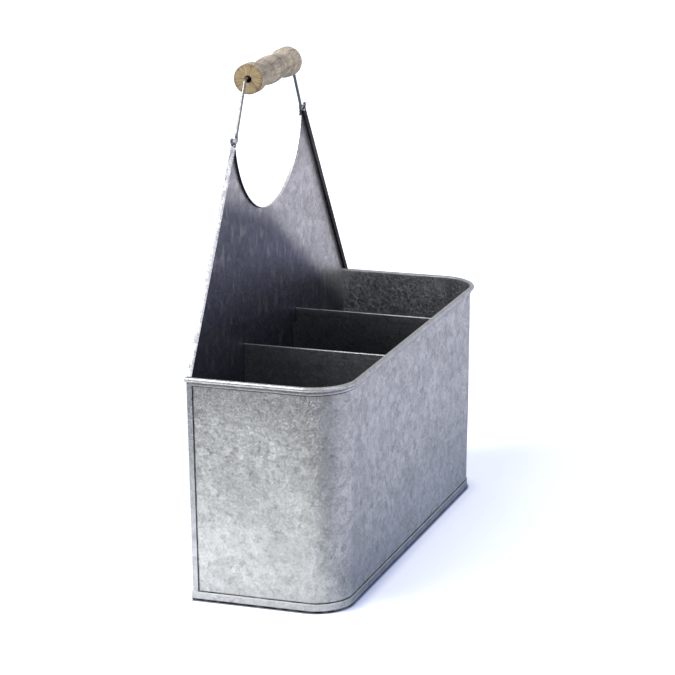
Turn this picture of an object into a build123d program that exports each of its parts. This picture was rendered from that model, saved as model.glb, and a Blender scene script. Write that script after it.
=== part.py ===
from build123d import *
import os
from math import atan2, cos, degrees, radians, sqrt, tan

# Galvanised sheet caddy for three bottles: a box with a wired rim, a back panel that rises
# into two horns, two dividers, and a wire bail that turns in the horns and carries a grip.
# X is the length, Y points from the front wall to the back panel, Z is up.
# The origin is the centre of the foot, on the surface that the caddy stands on.
# All lengths are in millimetres and all angles in degrees.

# Sheet, seams and draft
sheet = 0.6
seam = 0.1
draft = 1.1
overrun = 5.0

# Box
box_length = 316.0
box_depth = 108.5
corner_radius = 25.5
rim_height = 160.5

# Wired rim: the sheet is curled out and over a wire, and its edge ends in a narrow hem
rim_wire_diameter = 2.2
rim_wire_play = 0.1
rim_wire_show = 0.6
hem_length = 2.2

# Flats round each wire and round the curl
wire_sides = 12

# Base pan
pan_lip = 6.7
pan_bend = 0.9
pan_rear_corner = 0.3

# Back panel
tip_height = 309.0
tip_land = 1.2
cutout_radius = 67.6
cutout_rise = 5.8
side_flange = 4.4
side_bend = 0.9
cutout_flange = 2.3
cutout_flange_stop = 8.0

# Dividers
middle_bay = 108.0
divider_top = 157.6
divider_hem = 5.0
divider_tab = 8.0

# Bail
bail_diameter = 2.2
bail_hole_play = 0.35
pivot_drop = 3.5
pivot_side_play = 1.6
hook_bend = 2.4
hook_rise = 5.0
hook_end = 4.6
hook_play = 1.5
knee_bend = 6.0
shoulder_bend = 4.0
shoulder_reach = 5.0
bail_rise = 41.5

# Grip, turned in wood: a bead at each end, a neck beside it and a swollen barrel between
grip_length = 81.0
bead_diameter = 22.0
neck_diameter = 17.4
barrel_diameter = 20.6
bead_width = 8.5
bead_taper = 8.0
neck_width = 6.0
barrel_taper = 9.0
bore_diameter = 5.0
bore_play = 0.35
bead_chamfer = 0.8

# Worked out from the sizes above
slope = tan(radians(draft))
half_length = box_length / 2
back = box_depth / 2
front = -box_depth / 2
floor_top = sheet

curl_inside = rim_wire_diameter / 2 + rim_wire_play
curl_outside = curl_inside + sheet
rim_out = slope * rim_height
curl_out = rim_out + curl_inside
curl_bottom = rim_height - curl_outside
curl_top = rim_height + curl_outside

flange_front = back - side_flange
panel_front = back - sheet

notch_bottom = curl_bottom - seam
notch_top = curl_top + seam
cutout_height = tip_height + cutout_rise


def skin_x(height):
    """Half the length of the box over the end walls, outside, at a height."""
    return half_length + slope * height


def flange_x(height):
    """Half the length of the back panel over its side flanges, below the rim."""
    return skin_x(height) + seam + sheet


def cutout_x(height):
    """Half the width of the round cut-out at a height."""
    return sqrt(cutout_radius**2 - (cutout_height - height) ** 2)


tip_x = cutout_x(tip_height) + tip_land
horn_run = skin_x(notch_top) - tip_x
horn_rise = tip_height - notch_top
horn_angle = degrees(atan2(horn_run, horn_rise))


def horn_x(height):
    """Half the length of the back panel over its slanted side flanges, above the rim."""
    return tip_x + horn_run * (tip_height - height) / horn_rise


def wall_path(outset, height, end):
    """The line of the wrapped wall in plan, moved out by outset, from one back end to the other."""
    half = half_length + outset
    near = front - outset
    with BuildLine(Plane.XY.offset(height)) as path:
        FilletPolyline(
            (-half, end), (-half, near), (half, near), (half, end), radius=corner_radius + outset
        )
    return path.line


def mirrored(points):
    """Points on the +X side, followed by their mirror images in reverse order."""
    return points + [(-x, z) for x, z in reversed(points)]


# Body wrap: one strip of sheet, bent round the two front corners, with its upper edge curled
hem_place = rim_out + seam
hem_reach = curl_inside - seam - sheet
hem_top = rim_height - sqrt(curl_inside**2 - hem_reach**2)
hem_bottom = curl_bottom - hem_length

with BuildPart() as body_wrap:
    section = Plane(origin=(-half_length, back, 0), x_dir=(-1, 0, 0), z_dir=(0, 1, 0))
    with BuildSketch(section):
        with Locations((curl_out, rim_height)):
            RegularPolygon(curl_outside, wire_sides)
            RegularPolygon(curl_inside, wire_sides, mode=Mode.SUBTRACT)
        with Locations((hem_place, rim_height)):
            Rectangle(
                curl_outside, curl_outside, align=(Align.MAX, Align.MAX), mode=Mode.SUBTRACT
            )
        with Locations((hem_place, hem_top)):
            Rectangle(sheet, hem_top - hem_bottom, align=(Align.MIN, Align.MAX))
        with BuildLine():
            Polyline(
                (slope * floor_top - sheet, floor_top),
                (rim_out - sheet, rim_height),
                (rim_out, rim_height),
                (slope * floor_top, floor_top),
                close=True,
            )
        make_face()
    sweep(path=wall_path(0, 0, back))
    # The wall ends at the back panel, and the hem at the panel's side flanges
    with BuildSketch(Plane.XY.offset(curl_bottom)):
        with Locations((skin_x(rim_height) + seam / 2, flange_front - seam)):
            Rectangle(overrun, side_flange + seam, align=(Align.MIN, Align.MIN))
        mirror(about=Plane.YZ)
        with Locations((0, panel_front - seam)):
            Rectangle(
                2 * skin_x(rim_height) + overrun, side_flange, align=(Align.CENTER, Align.MIN)
            )
    extrude(amount=-rim_height, mode=Mode.SUBTRACT)
body_wrap.part.label = "body_wrap"

# Rim wire: it fills the curl and shows its blunted ends behind
with BuildPart() as rim_wire:
    wire_start = Plane(
        origin=(-half_length - curl_out, back + rim_wire_show, rim_height),
        x_dir=(-1, 0, 0),
        z_dir=(0, 1, 0),
    )
    with BuildSketch(wire_start):
        RegularPolygon(rim_wire_diameter / 2, wire_sides)
    sweep(path=wall_path(curl_out, rim_height, back + rim_wire_show))
    chamfer(rim_wire.edges().group_by(Axis.Y)[-1], rim_wire_show / 2)
rim_wire.part.label = "rim_wire"


def foot_outline(outset, rear_radius):
    """The box in plan at its foot, moved out by outset, with round front corners."""
    half = half_length + outset
    with BuildSketch() as outline:
        Rectangle(2 * half, box_depth + 2 * outset)
        fillet(outline.vertices().group_by(Axis.Y)[0], corner_radius + outset)
        fillet(outline.vertices().group_by(Axis.Y)[-1], rear_radius)
    return outline.sketch


# Base pan: a floor with an upturned lip that holds the foot of the walls and the panel
with BuildPart() as base_pan:
    add(foot_outline(seam + sheet, pan_rear_corner + sheet))
    extrude(amount=pan_lip, taper=-draft)
    fillet(base_pan.faces().sort_by(Axis.Z)[0].edges(), pan_bend)
    with BuildSketch(Plane.XY.offset(floor_top)):
        add(foot_outline(seam + slope * floor_top, pan_rear_corner))
    extrude(amount=pan_lip, taper=-draft, mode=Mode.SUBTRACT)
base_pan.part.label = "base_pan"

# Back panel: flat sheet with two horns beside a round cut-out, flanged forward at its edges
flange_foot = pan_lip + seam
notch_x = skin_x(notch_bottom) - sheet - seam
pivot_height = tip_height - pivot_drop
pivot_y = back - side_flange / 2
flange_run = sheet / cos(radians(horn_angle))
rear_view = Plane(origin=(0, back, 0), x_dir=(1, 0, 0), z_dir=(0, -1, 0))


def is_bend(edge):
    """Whether an edge of the rear face runs along a side flange, below the rim or up a horn."""
    return abs((edge @ 1).Z - (edge @ 0).Z) > pan_lip


with BuildPart() as back_panel:
    with BuildSketch(rear_view):
        with BuildLine():
            Polyline(
                mirrored(
                    [
                        (skin_x(floor_top), floor_top),
                        (skin_x(flange_foot), flange_foot),
                        (flange_x(flange_foot), flange_foot),
                        (flange_x(notch_bottom), notch_bottom),
                        (notch_x, notch_bottom),
                        (notch_x, notch_top),
                        (horn_x(notch_top), notch_top),
                        (tip_x, tip_height),
                    ]
                ),
                close=True,
            )
        make_face()
    extrude(amount=sheet)
    # Side flanges, outside the end walls below the rim and along the slanted edges above it
    with BuildSketch(rear_view):
        with BuildLine():
            Polyline(
                (flange_x(flange_foot), flange_foot),
                (flange_x(notch_bottom), notch_bottom),
                (flange_x(notch_bottom) - sheet, notch_bottom),
                (flange_x(flange_foot) - sheet, flange_foot),
                close=True,
            )
        make_face()
        with BuildLine():
            Polyline(
                (horn_x(notch_top), notch_top),
                (tip_x, tip_height),
                (tip_x - flange_run, tip_height),
                (horn_x(notch_top) - flange_run, notch_top),
                close=True,
            )
        make_face()
        mirror(about=Plane.YZ)
    extrude(amount=side_flange)
    fillet(back_panel.faces().sort_by(Axis.Y)[-1].edges().filter_by(is_bend), side_bend)
    # Round cut-out, with a flange that ends below the tips
    with BuildSketch(rear_view):
        with Locations((0, cutout_height)):
            Circle(cutout_radius)
    extrude(amount=side_flange, mode=Mode.SUBTRACT)
    with BuildSketch(rear_view):
        with Locations((0, cutout_height)):
            Circle(cutout_radius + sheet)
            Circle(cutout_radius, mode=Mode.SUBTRACT)
        with Locations((0, tip_height - cutout_flange_stop)):
            Rectangle(
                2 * (cutout_radius + overrun),
                2 * (cutout_radius + overrun),
                align=(Align.CENTER, Align.MIN),
                mode=Mode.SUBTRACT,
            )
    extrude(amount=cutout_flange)
    # Pivot holes through the side flanges, along the axis of the bail
    with BuildSketch(Plane.YZ):
        with Locations((pivot_y, pivot_height)):
            Circle(bail_diameter / 2 + bail_hole_play)
    extrude(amount=tip_x + overrun, both=True, mode=Mode.SUBTRACT)
back_panel.part.label = "back_panel"

# Dividers: upright sheets with a folded top and a tab against the front wall and the panel
inner_back = panel_front - seam
divider_place = -middle_bay / 2
fold_inside = seam / 2
fold_outside = fold_inside + sheet
fold_foot = divider_top - fold_outside
hem_foot = fold_foot - divider_hem
tab_top = hem_foot - divider_hem


def inner_front(height):
    """Where a divider meets the inner face of the leaning front wall."""
    return front - slope * height + sheet + seam


with BuildPart() as divider_left:
    with BuildSketch(Plane.YZ.offset(divider_place)):
        with BuildLine():
            Polyline(
                (inner_front(floor_top), floor_top),
                (inner_back, floor_top),
                (inner_back, fold_foot),
                (inner_front(fold_foot), fold_foot),
                close=True,
            )
        make_face()
    extrude(amount=sheet)
    with BuildSketch(Plane.YZ.offset(divider_place)):
        with BuildLine():
            Polyline(
                (inner_front(floor_top), floor_top),
                (inner_front(floor_top) + sheet, floor_top),
                (inner_front(tab_top) + sheet, tab_top),
                (inner_front(tab_top), tab_top),
                close=True,
            )
        make_face()
        with Locations((inner_back, floor_top)):
            Rectangle(sheet, tab_top - floor_top, align=(Align.MAX, Align.MIN))
    extrude(amount=divider_tab)
    # The fold lies on the same side as the tabs, towards the middle bay
    fold_view = Plane(
        origin=(divider_place + fold_outside, inner_back, fold_foot),
        x_dir=(1, 0, 0),
        z_dir=(0, -1, 0),
    )
    with BuildSketch(fold_view):
        Circle(fold_outside)
        Circle(fold_inside, mode=Mode.SUBTRACT)
        Rectangle(
            2 * fold_outside, fold_outside, align=(Align.CENTER, Align.MAX), mode=Mode.SUBTRACT
        )
        with Locations((fold_inside, 0)):
            Rectangle(sheet, divider_hem, align=(Align.MIN, Align.MAX))
    extrude(amount=inner_back - inner_front(hem_foot))
divider_left.part.label = "divider_left"

with BuildPart() as divider_right:
    mirror(divider_left.part, about=Plane.YZ)
divider_right.part.label = "divider_right"

# Bail: one wire. Its legs stand inside the horns; its ends pass out through the pivot holes
# and turn up beside the slanted flanges.
wire_radius = bail_diameter / 2
hook_in = cutout_x(pivot_height) - hook_play - wire_radius
hook_out = horn_x(pivot_height) + pivot_side_play + wire_radius
bail_height = pivot_height + bail_rise
shoulder_x = grip_length / 2 + shoulder_reach
bail_plane = Plane(origin=(0, pivot_y, 0), x_dir=(1, 0, 0), z_dir=(0, -1, 0))

bends = [hook_bend, hook_bend, knee_bend, shoulder_bend]
with BuildPart() as bail_wire:
    with BuildLine(bail_plane) as bail_path:
        FilletPolyline(
            *mirrored(
                [
                    (hook_out, pivot_height + hook_end),
                    (hook_out, pivot_height),
                    (hook_in, pivot_height),
                    (hook_in, pivot_height + hook_rise),
                    (shoulder_x, bail_height),
                ]
            ),
            radius=bends + bends[::-1],
        )
    with BuildSketch(Plane(origin=bail_path.line @ 0, z_dir=bail_path.line % 0)):
        RegularPolygon(wire_radius, wire_sides)
    sweep()
bail_wire.part.label = "bail_wire"

# Grip: a turned spool that hangs on the straight of the bail, free to spin
grip_drop = bore_diameter / 2 - wire_radius - bore_play
grip_height = bail_height - grip_drop
grip_half = grip_length / 2
bead_at = grip_half - bead_width
neck_at = bead_at - bead_taper
neck_end = neck_at - neck_width

with BuildPart() as wood_grip:
    grip_plane = Plane(origin=(0, pivot_y, grip_height), x_dir=(1, 0, 0), z_dir=(0, -1, 0))
    with BuildSketch(grip_plane) as grip_profile:
        with BuildLine():
            Polyline(
                mirrored(
                    [
                        (grip_half, bore_diameter / 2),
                        (grip_half, bead_diameter / 2),
                        (bead_at, bead_diameter / 2),
                        (neck_at, neck_diameter / 2),
                        (neck_end, neck_diameter / 2),
                        (neck_end - barrel_taper, barrel_diameter / 2),
                    ]
                ),
                close=True,
            )
        make_face()
        chamfer(grip_profile.vertices().group_by(Axis.Y)[-1], bead_chamfer)
    revolve(axis=Axis((0, pivot_y, grip_height), (1, 0, 0)))
wood_grip.part.label = "wood_grip"

pieces = [
    body_wrap,
    rim_wire,
    base_pan,
    back_panel,
    divider_left,
    divider_right,
    bail_wire,
    wood_grip,
]
os.makedirs("parts", exist_ok=True)
for piece in pieces:
    export_step(piece.part, "parts/" + piece.part.label + ".step")

print("horn angle", round(horn_angle, 2), "from upright")
print("bail pivot", round(pivot_y, 3), round(pivot_height, 3), "grip axis", round(grip_height, 3))
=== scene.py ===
# %% [markdown]
# # A galvanised caddy with a horned back and a wooden grip
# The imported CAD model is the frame: it says where each piece is and on which body it rides.
# Each visible piece is made again here with finer curves, softened edges and a finish of its
# own. Lengths are in metres, X is the length, Y points to the back panel and Z is up.

from math import acos, atan2, cos, pi, radians, sin, sqrt, tan

import bpy
import bmesh
import numpy as np
from mathutils import Matrix, Vector, noise


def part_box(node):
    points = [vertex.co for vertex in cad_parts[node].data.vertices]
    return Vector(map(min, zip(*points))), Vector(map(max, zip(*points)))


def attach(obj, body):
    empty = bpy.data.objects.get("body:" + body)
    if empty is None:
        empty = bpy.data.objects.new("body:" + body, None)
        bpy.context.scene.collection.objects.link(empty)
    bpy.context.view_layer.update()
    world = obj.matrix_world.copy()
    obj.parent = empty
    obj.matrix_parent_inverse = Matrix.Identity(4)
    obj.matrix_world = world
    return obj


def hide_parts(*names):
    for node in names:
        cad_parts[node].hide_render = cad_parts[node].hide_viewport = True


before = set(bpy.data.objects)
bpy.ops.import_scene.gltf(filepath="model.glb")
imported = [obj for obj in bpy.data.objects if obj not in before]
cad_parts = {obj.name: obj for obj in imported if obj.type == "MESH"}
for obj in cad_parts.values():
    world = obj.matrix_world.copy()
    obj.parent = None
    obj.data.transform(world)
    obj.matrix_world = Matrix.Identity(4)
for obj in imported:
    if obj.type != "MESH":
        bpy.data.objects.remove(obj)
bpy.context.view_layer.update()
MM = 0.001

# %% [markdown]
# ## Sizes
# The sheet, the seams and the wires have sizes that no box of a CAD node can tell, so they
# are written here once. The large sizes are read from the boxes of the nodes, so the finer
# pieces follow the CAD model.

# %% Name the sizes
SHEET = 0.6 * MM
SEAM = 0.1 * MM
SLOPE = tan(radians(1.1))
WIRE_RADIUS = 1.1 * MM
CORNER_RADIUS = 25.5 * MM
LIP = 6.7 * MM
FLOOR_TOP = SHEET

CURL_INSIDE = WIRE_RADIUS + 0.1 * MM
CURL_OUTSIDE = CURL_INSIDE + SHEET
WRAP_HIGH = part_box("body_wrap")[1]
RIM_HEIGHT = WRAP_HIGH.z - CURL_OUTSIDE
RIM_OUT = SLOPE * RIM_HEIGHT
CURL_OUT = RIM_OUT + CURL_INSIDE
CURL_BOTTOM = RIM_HEIGHT - CURL_OUTSIDE
HALF_LENGTH = WRAP_HIGH.x - CURL_OUT - CURL_OUTSIDE

PANEL_LOW, PANEL_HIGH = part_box("back_panel")
BACK = PANEL_HIGH.y
FRONT = -BACK
FLANGE_FRONT = PANEL_LOW.y
PANEL_FRONT = BACK - SHEET
TIP_HEIGHT = PANEL_HIGH.z
for label, size in (("half length", HALF_LENGTH), ("back", BACK), ("rim height", RIM_HEIGHT)):
    print(label, round(size / MM, 2), "mm")

# %% [markdown]
# ## Making a mesh from lines
# Bent sheet and turned wood are both a row of matching lines with faces between them. One
# helper bridges such lines, closes the ends and turns every face outwards, so each piece
# below only has to say where its lines run.

# %% Define the bridge
def finished_mesh(name, points, faces, smooth_angle=35):
    """A mesh of points and faces, its faces turned outwards and shaded smooth up to an angle."""
    mesh = bpy.data.meshes.new(name)
    mesh.from_pydata([tuple(p) for p in points], [], faces)
    shell = bmesh.new()
    shell.from_mesh(mesh)
    bmesh.ops.recalc_face_normals(shell, faces=shell.faces)
    shell.to_mesh(mesh)
    shell.free()
    mesh.shade_smooth()
    mesh.set_sharp_from_angle(angle=radians(smooth_angle))
    return mesh


def bridge(lines, around=False, along=False):
    """Points and faces between neighbouring lines, each a list with as many points."""
    count, length = len(lines), len(lines[0])
    points = [p for line in lines for p in line]
    faces = []
    for i in range(count if around else count - 1):
        for j in range(length if along else length - 1):
            a, b = i * length, (i + 1) % count * length
            k = (j + 1) % length
            faces.append((a + j, a + k, b + k, b + j))
    if around and not along:
        faces.append(tuple(i * length for i in range(count)))
        faces.append(tuple(i * length + length - 1 for i in range(count)))
    if along and not around:
        faces.append(tuple(range(length)))
        faces.append(tuple((count - 1) * length + j for j in range(length)))
    return points, faces


def in_scene(name, data):
    """A new object in the scene that shows a mesh, a lamp or a camera."""
    thing = bpy.data.objects.new(name, data)
    bpy.context.scene.collection.objects.link(thing)
    return thing


def add_piece(name, mesh, body, node, material):
    """A finished piece that stands for a CAD node, rides on its body and has its finish."""
    piece = in_scene(name, mesh)
    mesh.materials.clear()
    mesh.materials.append(material)
    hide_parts(node)
    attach(piece, body)
    print(name, len(mesh.vertices), "points", len(mesh.polygons), "faces")


def mark(mesh, name, values):
    """Stores one number for each point, such as an edge's wear and painted highlight."""
    layer = mesh.attributes.new(name, "FLOAT", "POINT")
    layer.data.foreach_set("value", np.asarray(values, np.float32))


# %% [markdown]
# ## Shader helpers
# A shader is a net of small nodes. These helpers each add one kind of node and hand on its
# result, so the recipes further down read like sums. Scales count features per metre.

# %% Define the shader helpers
def new_group(name, inputs, outputs):
    """An empty shader group with named float inputs, given their defaults, and outputs."""
    group = bpy.data.node_groups.new(name, "ShaderNodeTree")
    group.interface.new_socket("Vector", in_out="INPUT", socket_type="NodeSocketVector")
    for label, value in inputs.items():
        socket = group.interface.new_socket(label, in_out="INPUT", socket_type="NodeSocketFloat")
        socket.default_value = value
    for label in outputs:
        group.interface.new_socket(label, in_out="OUTPUT", socket_type="NodeSocketFloat")
    return group, group.nodes.new("NodeGroupInput"), group.nodes.new("NodeGroupOutput")


def put(tree, kind, links=None, **settings):
    """A node with its settings; links maps an input's name or place to a socket or a value."""
    node = tree.nodes.new(kind)
    for key, value in settings.items():
        setattr(node, key, value)
    for key, value in (links or {}).items():
        socket = node.inputs[key]
        if isinstance(value, bpy.types.NodeSocket):
            tree.links.new(value, socket)
        else:
            socket.default_value = value
    return node


def maths(tree, operation, a, b=0.0, c=0.0):
    """The result of one Math node."""
    return put(tree, "ShaderNodeMath", {0: a, 1: b, 2: c}, operation=operation).outputs[0]


def times(tree, product, *factors):
    """The product of several values."""
    for factor in factors:
        product = maths(tree, "MULTIPLY", product, factor)
    return product


def linear(tree, value, gain, start):
    """A value times a gain, added to a start."""
    return maths(tree, "MULTIPLY_ADD", value, gain, start)


def vectors(tree, operation, a, b=(0, 0, 0), out="Vector"):
    """The result of one Vector Math node."""
    return put(tree, "ShaderNodeVectorMath", {0: a, 1: b}, operation=operation).outputs[out]


def scaled(tree, vector, amount):
    """A vector made longer by an amount."""
    links = {0: vector, "Scale": amount}
    return put(tree, "ShaderNodeVectorMath", links, operation="SCALE").outputs[0]


def split(tree, vector):
    """The three parts of a vector."""
    return put(tree, "ShaderNodeSeparateXYZ", {0: vector}).outputs


def noise_at(tree, place, scale, detail, distortion=0.0, out=0):
    """Noise at a place, with its scale, its fineness and how far it is bent."""
    links = {"Vector": place, "Scale": scale, "Detail": detail, "Distortion": distortion}
    return put(tree, "ShaderNodeTexNoise", links).outputs[out]


def ramp(tree, value, low, high, start=0.0, stop=1.0):
    """A smooth step of a value between two limits."""
    links = {"Value": value, "From Min": low, "From Max": high, "To Min": start, "To Max": stop}
    return put(tree, "ShaderNodeMapRange", links, interpolation_type="SMOOTHSTEP").outputs[0]


# %% [markdown]
# ## Shader groups
# Hot-dip zinc freezes in crystals, the spangle: flakes of a few millimetres, each with its
# own tilt and brightness, with ragged borders. A Voronoi texture on bent coordinates gives
# the flakes, once large and once fine. Its random colour sets the brightness, and a slope
# across each flake in the height turns that flake towards or away from the light. The group
# puts out numbers only, so each metal can set its own colour round them: a shade, a height,
# a fine speckle and the borders between the flakes.

# %% Build the spangle group
MIDDLE = (0.5, 0.5, 0.5)
FLAKE_SIZES = (1.0, 2.6)
FINE_SHADE, FINE_HEIGHT = 0.4, 0.5
BORDER_FLAKES, BORDER_WIDTH = 1.15, 0.13


def spangle_group():
    inputs = {"Flakes per Metre": 200.0, "Ragged": 0.003}
    group, source, sink = new_group("spangle", inputs, ["Shade", "Height", "Speckle", "Border"])
    place, flakes = source.outputs["Vector"], source.outputs["Flakes per Metre"]
    shift = vectors(group, "SUBTRACT", noise_at(group, place, 380.0, 5.0, out="Color"), MIDDLE)
    bent = vectors(group, "ADD", place, scaled(group, shift, source.outputs["Ragged"]))
    shades, slopes = [], []
    for finer in FLAKE_SIZES:
        density = times(group, flakes, finer)
        links = {"Vector": bent, "Scale": density, "Randomness": 1.0}
        cells = put(group, "ShaderNodeTexVoronoi", links).outputs
        shades.append(put(group, "ShaderNodeSeparateColor", {0: cells["Color"]}).outputs[0])
        offset = vectors(group, "SUBTRACT", scaled(group, bent, density), cells["Position"])
        turn = vectors(group, "SUBTRACT", cells["Color"], MIDDLE)
        slopes.append(vectors(group, "DOT_PRODUCT", offset, turn, out="Value"))
    links = {"Vector": bent, "Scale": times(group, flakes, BORDER_FLAKES)}
    rims = put(group, "ShaderNodeTexVoronoi", links, feature="DISTANCE_TO_EDGE")
    results = {
        "Shade": linear(group, shades[1], FINE_SHADE, times(group, shades[0], 1 - FINE_SHADE)),
        "Height": linear(group, slopes[1], FINE_HEIGHT, slopes[0]),
        "Speckle": noise_at(group, place, 640.0, 6.0),
        "Border": ramp(group, rims.outputs["Distance"], BORDER_WIDTH, 0.0),
    }
    for label, result in results.items():
        group.links.new(result, sink.inputs[label])
    return group


SPANGLE = spangle_group()

# %% [markdown]
# Bare edges of sheet are rubbed bright, and on top of that some edges get a painted
# highlight: the top of the curl, the raw edge of the hem, the top of the pan's lip and the
# tops of the dividers. Seams hold a dark line that is dirt and painted shade, and painted
# shade also lies under the curl, in the crease of the hem and along the pan's bottom bend.
# The meshes carry both as numbers on their points, called edge and grime_and_shade. A second
# group breaks those numbers up with noise, so that the marks are patchy, and more than one
# material uses it.

# %% Build the wear group
def patchy_group():
    inputs = {"Amount": 0.0, "Patches per Metre": 160.0}
    group, source, sink = new_group("patchy_marks", inputs, ["Mask"])
    patches = noise_at(group, source.outputs["Vector"], source.outputs["Patches per Metre"], 3.0)
    links = {0: source.outputs["Amount"], 1: linear(group, patches, 0.9, 0.35)}
    mask = put(group, "ShaderNodeMath", links, operation="MULTIPLY", use_clamp=True)
    group.links.new(mask.outputs[0], sink.inputs["Mask"])
    return group


PATCHY = patchy_group()

# %% [markdown]
# ## Materials
# The walls, the pan, the panel and the dividers are one kind of sheet, so one function makes
# their finish, with a tone for each place. The metal is a Principled shader with full
# metallic: its base colour runs between a dark and a light zinc grey by the spangle's shade,
# under slow clouds, stains, the flakes' dark borders and feathers of oxide. Its roughness
# follows the speckle, and a bump takes the spangle's height.

# %% Define the sheet's finish
# Bright edges are wear and a painted highlight; dark seams are dirt and painted shade
WORN_AND_LIT_ZINC, DIRT_AND_SHADE = (0.80, 0.81, 0.82), (0.012, 0.013, 0.017)
EDGE_AND_SEAM_MARKS = (("edge", 220.0, WORN_AND_LIT_ZINC), ("grime_and_shade", 120.0, DIRT_AND_SHADE))
CLOUD_TONE, STAIN_TONE, SEAM_TONE, FEATHER_TONE = 0.86, 0.83, 0.85, 0.84
RAGGED = 0.0048
FLAKE_RELIEF = 0.0006


def blend_colours(tree, factor, dark, light):
    """A mix of two colours by a factor; each is a socket or three numbers."""
    links = {0: factor}
    for place, value in ((6, dark), (7, light)):
        links[place] = value if isinstance(value, bpy.types.NodeSocket) else (*value, 1)
    return put(tree, "ShaderNodeMix", links, data_type="RGBA").outputs[2]


def scaled_colour(tree, colour, level, tint=(1, 1, 1)):
    """A colour made darker or lighter by a level, and tinted."""
    return vectors(tree, "MULTIPLY", colour, tuple(level * t for t in tint))


def toned(tree, colour, mask, level, tint=(1, 1, 1)):
    """A colour that a mask brings to a level and a tint of itself."""
    return blend_colours(tree, mask, colour, scaled_colour(tree, colour, level, tint))


def new_material(name):
    """A material with its tree, its Principled shader and the object's own coordinates."""
    material = bpy.data.materials.new(name)
    material.use_nodes = True
    tree = material.node_tree
    place = tree.nodes.new("ShaderNodeTexCoord").outputs["Object"]
    return material, tree, tree.nodes["Principled BSDF"], place


def attribute(tree, name):
    """A number that a mesh carries on its points or faces."""
    return put(tree, "ShaderNodeAttribute", attribute_name=name).outputs["Fac"]


def connect(tree, shader, colour, rough, relief, strength, distance):
    """Gives a shader its colour, its roughness and its bump."""
    bump = put(
        tree, "ShaderNodeBump", {"Height": relief, "Strength": strength, "Distance": distance}
    )
    tree.links.new(colour, shader.inputs["Base Color"])
    tree.links.new(rough, shader.inputs["Roughness"])
    tree.links.new(bump.outputs[0], shader.inputs["Normal"])


def zinc_sheet(name, dark, light, flakes, tilt, painted_light=None):
    """Galvanised sheet: edges get wear and painted highlight, seams dirt and painted shade."""
    material, tree, shader, place = new_material(name)
    links = {"Vector": place, "Flakes per Metre": flakes, "Ragged": RAGGED}
    flake = put(tree, "ShaderNodeGroup", links, node_tree=SPANGLE).outputs
    shade = linear(tree, flake["Shade"], 0.75, linear(tree, flake["Speckle"], 1.7, -0.64))
    # On the near end the flakes fade towards the foot and stand out under the rim
    x, _, z = split(tree, place)
    change = times(tree, ramp(tree, z, 0.04, 0.15, -0.45, 0.25), ramp(tree, x, -0.152, -0.160))
    shade = linear(tree, maths(tree, "ADD", shade, -0.50), change, shade)
    colour = blend_colours(tree, shade, dark, light)
    cloud = linear(tree, noise_at(tree, place, 22.0, 3.0), 2.4, -0.8)
    colour = blend_colours(tree, cloud, scaled_colour(tree, colour, CLOUD_TONE), colour)
    stains = noise_at(tree, place, 150.0, 5.0, 0.8)
    colour = toned(tree, colour, ramp(tree, stains, 0.57, 0.68), STAIN_TONE)
    seam = times(tree, flake["Border"], ramp(tree, stains, 0.43, 0.60))
    colour = toned(tree, colour, seam, SEAM_TONE)
    feather = ramp(tree, noise_at(tree, place, 62.0, 4.0, 1.8), 0.60, 0.67)
    colour = toned(tree, colour, feather, FEATHER_TONE)
    # The painted light and shade of a place, where one is given
    if painted_light:
        colour = painted_light(tree, place, colour)
    for label, patches, tone in EDGE_AND_SEAM_MARKS:
        links = {"Vector": place, "Amount": attribute(tree, label), "Patches per Metre": patches}
        patched = put(tree, "ShaderNodeGroup", links, node_tree=PATCHY)
        colour = blend_colours(tree, patched.outputs["Mask"], colour, tone)
    rough = linear(tree, flake["Speckle"], 0.10, linear(tree, flake["Shade"], -0.12, 0.42))
    relief = linear(tree, seam, -0.12, flake["Height"])
    shader.inputs["Metallic"].default_value = 1.0
    connect(tree, shader, colour, rough, relief, tilt, FLAKE_RELIEF)
    return material


# %% [markdown]
# Two places have painted light and shade of their own. The panel is painted dark and blue low
# down, a painted shade, with upright streaks, and clears towards the horns, where it gets
# painted light, more so on +X; the corners behind its flanges get painted black shade, its
# outer strips painted shade and its folds a painted highlight. The lip of the pan gets
# painted shade along the front.

# %% Make the sheets
# Colours of the panel's painted shade and light
PANEL_BLUE, PANEL_WARM = (0.79, 0.91, 1.88), (1.0, 0.95, 0.87)
DEEPEST, TIP_GREY = (0.0, 0.0, 0.002), (0.05, 0.05, 0.055)
CORNER_SHADE, FOLD_HIGHLIGHT_ZINC = (0.012, 0.012, 0.014), (0.97, 0.97, 0.98)
LEAST_STRIP_SHADE = 0.42


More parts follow.
